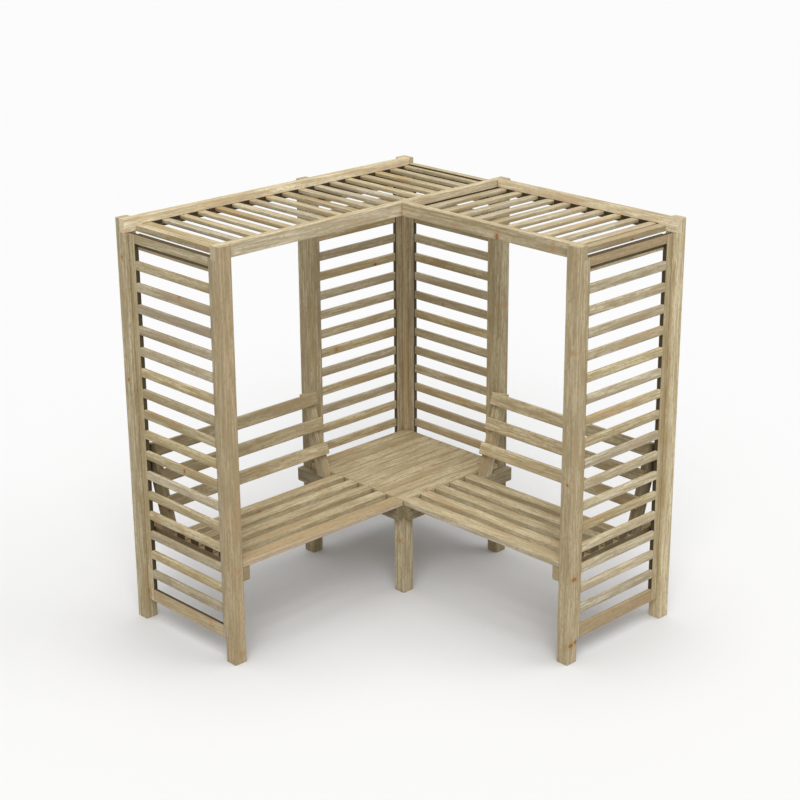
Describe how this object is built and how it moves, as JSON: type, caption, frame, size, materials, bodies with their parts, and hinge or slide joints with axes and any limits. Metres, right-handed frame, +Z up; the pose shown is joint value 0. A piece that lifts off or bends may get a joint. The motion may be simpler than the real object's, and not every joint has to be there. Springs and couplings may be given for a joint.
{
  "type": "arbour seat",
  "caption": "Wooden corner arbour seat: an L-shaped slatted bench with leaning backrests, slatted side and corner walls and an open slatted roof on square posts.",
  "frame": {"origin": "at ground level, in the middle of the square that the arbour covers", "axes": "+Z up; the left wing's back is at -X and the right wing's back at +Y, so the open side faces +X and -Y"},
  "size_m": [1.77, 1.77, 1.935],
  "materials": {
    "post_wood": "planed, pressure treated softwood, matt",
    "beam_wood": "planed, pressure treated softwood, matt",
    "slat_wood": "planed, pressure treated softwood, matt",
    "panel_wood": "planed, pressure treated softwood, matt",
    "bearer_wood": "planed, pressure treated softwood, matt",
    "board_wood": "planed, pressure treated softwood, matt",
    "back_wood": "planed, pressure treated softwood, matt"
  },
  "bodies": {
    "root": {"left_rear_post": "post_wood", "left_front_post": "post_wood", "left_mid_post": "post_wood", "right_rear_post": "post_wood", "right_front_post": "post_wood", "right_mid_post": "post_wood", "corner_post": "post_wood", "centre_leg": "post_wood", "left_rear_beam": "beam_wood", "left_front_beam": "beam_wood", "right_rear_beam": "beam_wood", "right_front_beam": "beam_wood", "corner_top_rail": "beam_wood", "left_roof_deck": "slat_wood", "right_roof_deck": "slat_wood", "left_roof_end_rail": "slat_wood", "right_roof_end_rail": "slat_wood", "left_end_panel": "panel_wood", "right_end_panel": "panel_wood", "left_corner_panel": "panel_wood", "right_corner_panel": "panel_wood", "left_end_bearer": "bearer_wood", "left_inner_bearer": "bearer_wood", "right_end_bearer": "bearer_wood", "right_inner_bearer": "bearer_wood", "platform_front_bearer": "bearer_wood", "platform_rear_bearer": "bearer_wood", "left_seat_board_1": "board_wood", "left_seat_board_2": "board_wood", "left_seat_board_3": "board_wood", "left_seat_board_4": "board_wood", "left_seat_board_5": "board_wood", "right_seat_board_1": "board_wood", "right_seat_board_2": "board_wood", "right_seat_board_3": "board_wood", "right_seat_board_4": "board_wood", "right_seat_board_5": "board_wood", "platform_board_1": "board_wood", "platform_board_2": "board_wood", "platform_board_3": "board_wood", "platform_board_4": "board_wood", "platform_board_5": "board_wood", "platform_board_6": "board_wood", "platform_board_7": "board_wood", "platform_board_8": "board_wood", "platform_board_9": "board_wood", "platform_board_10": "board_wood", "left_outer_upright": "bearer_wood", "left_inner_upright": "bearer_wood", "right_outer_upright": "bearer_wood", "right_inner_upright": "bearer_wood", "left_back_slat_1": "back_wood", "left_back_slat_2": "back_wood", "left_back_slat_3": "back_wood", "right_back_slat_1": "back_wood", "right_back_slat_2": "back_wood", "right_back_slat_3": "back_wood"}
  },
  "joints": []
}
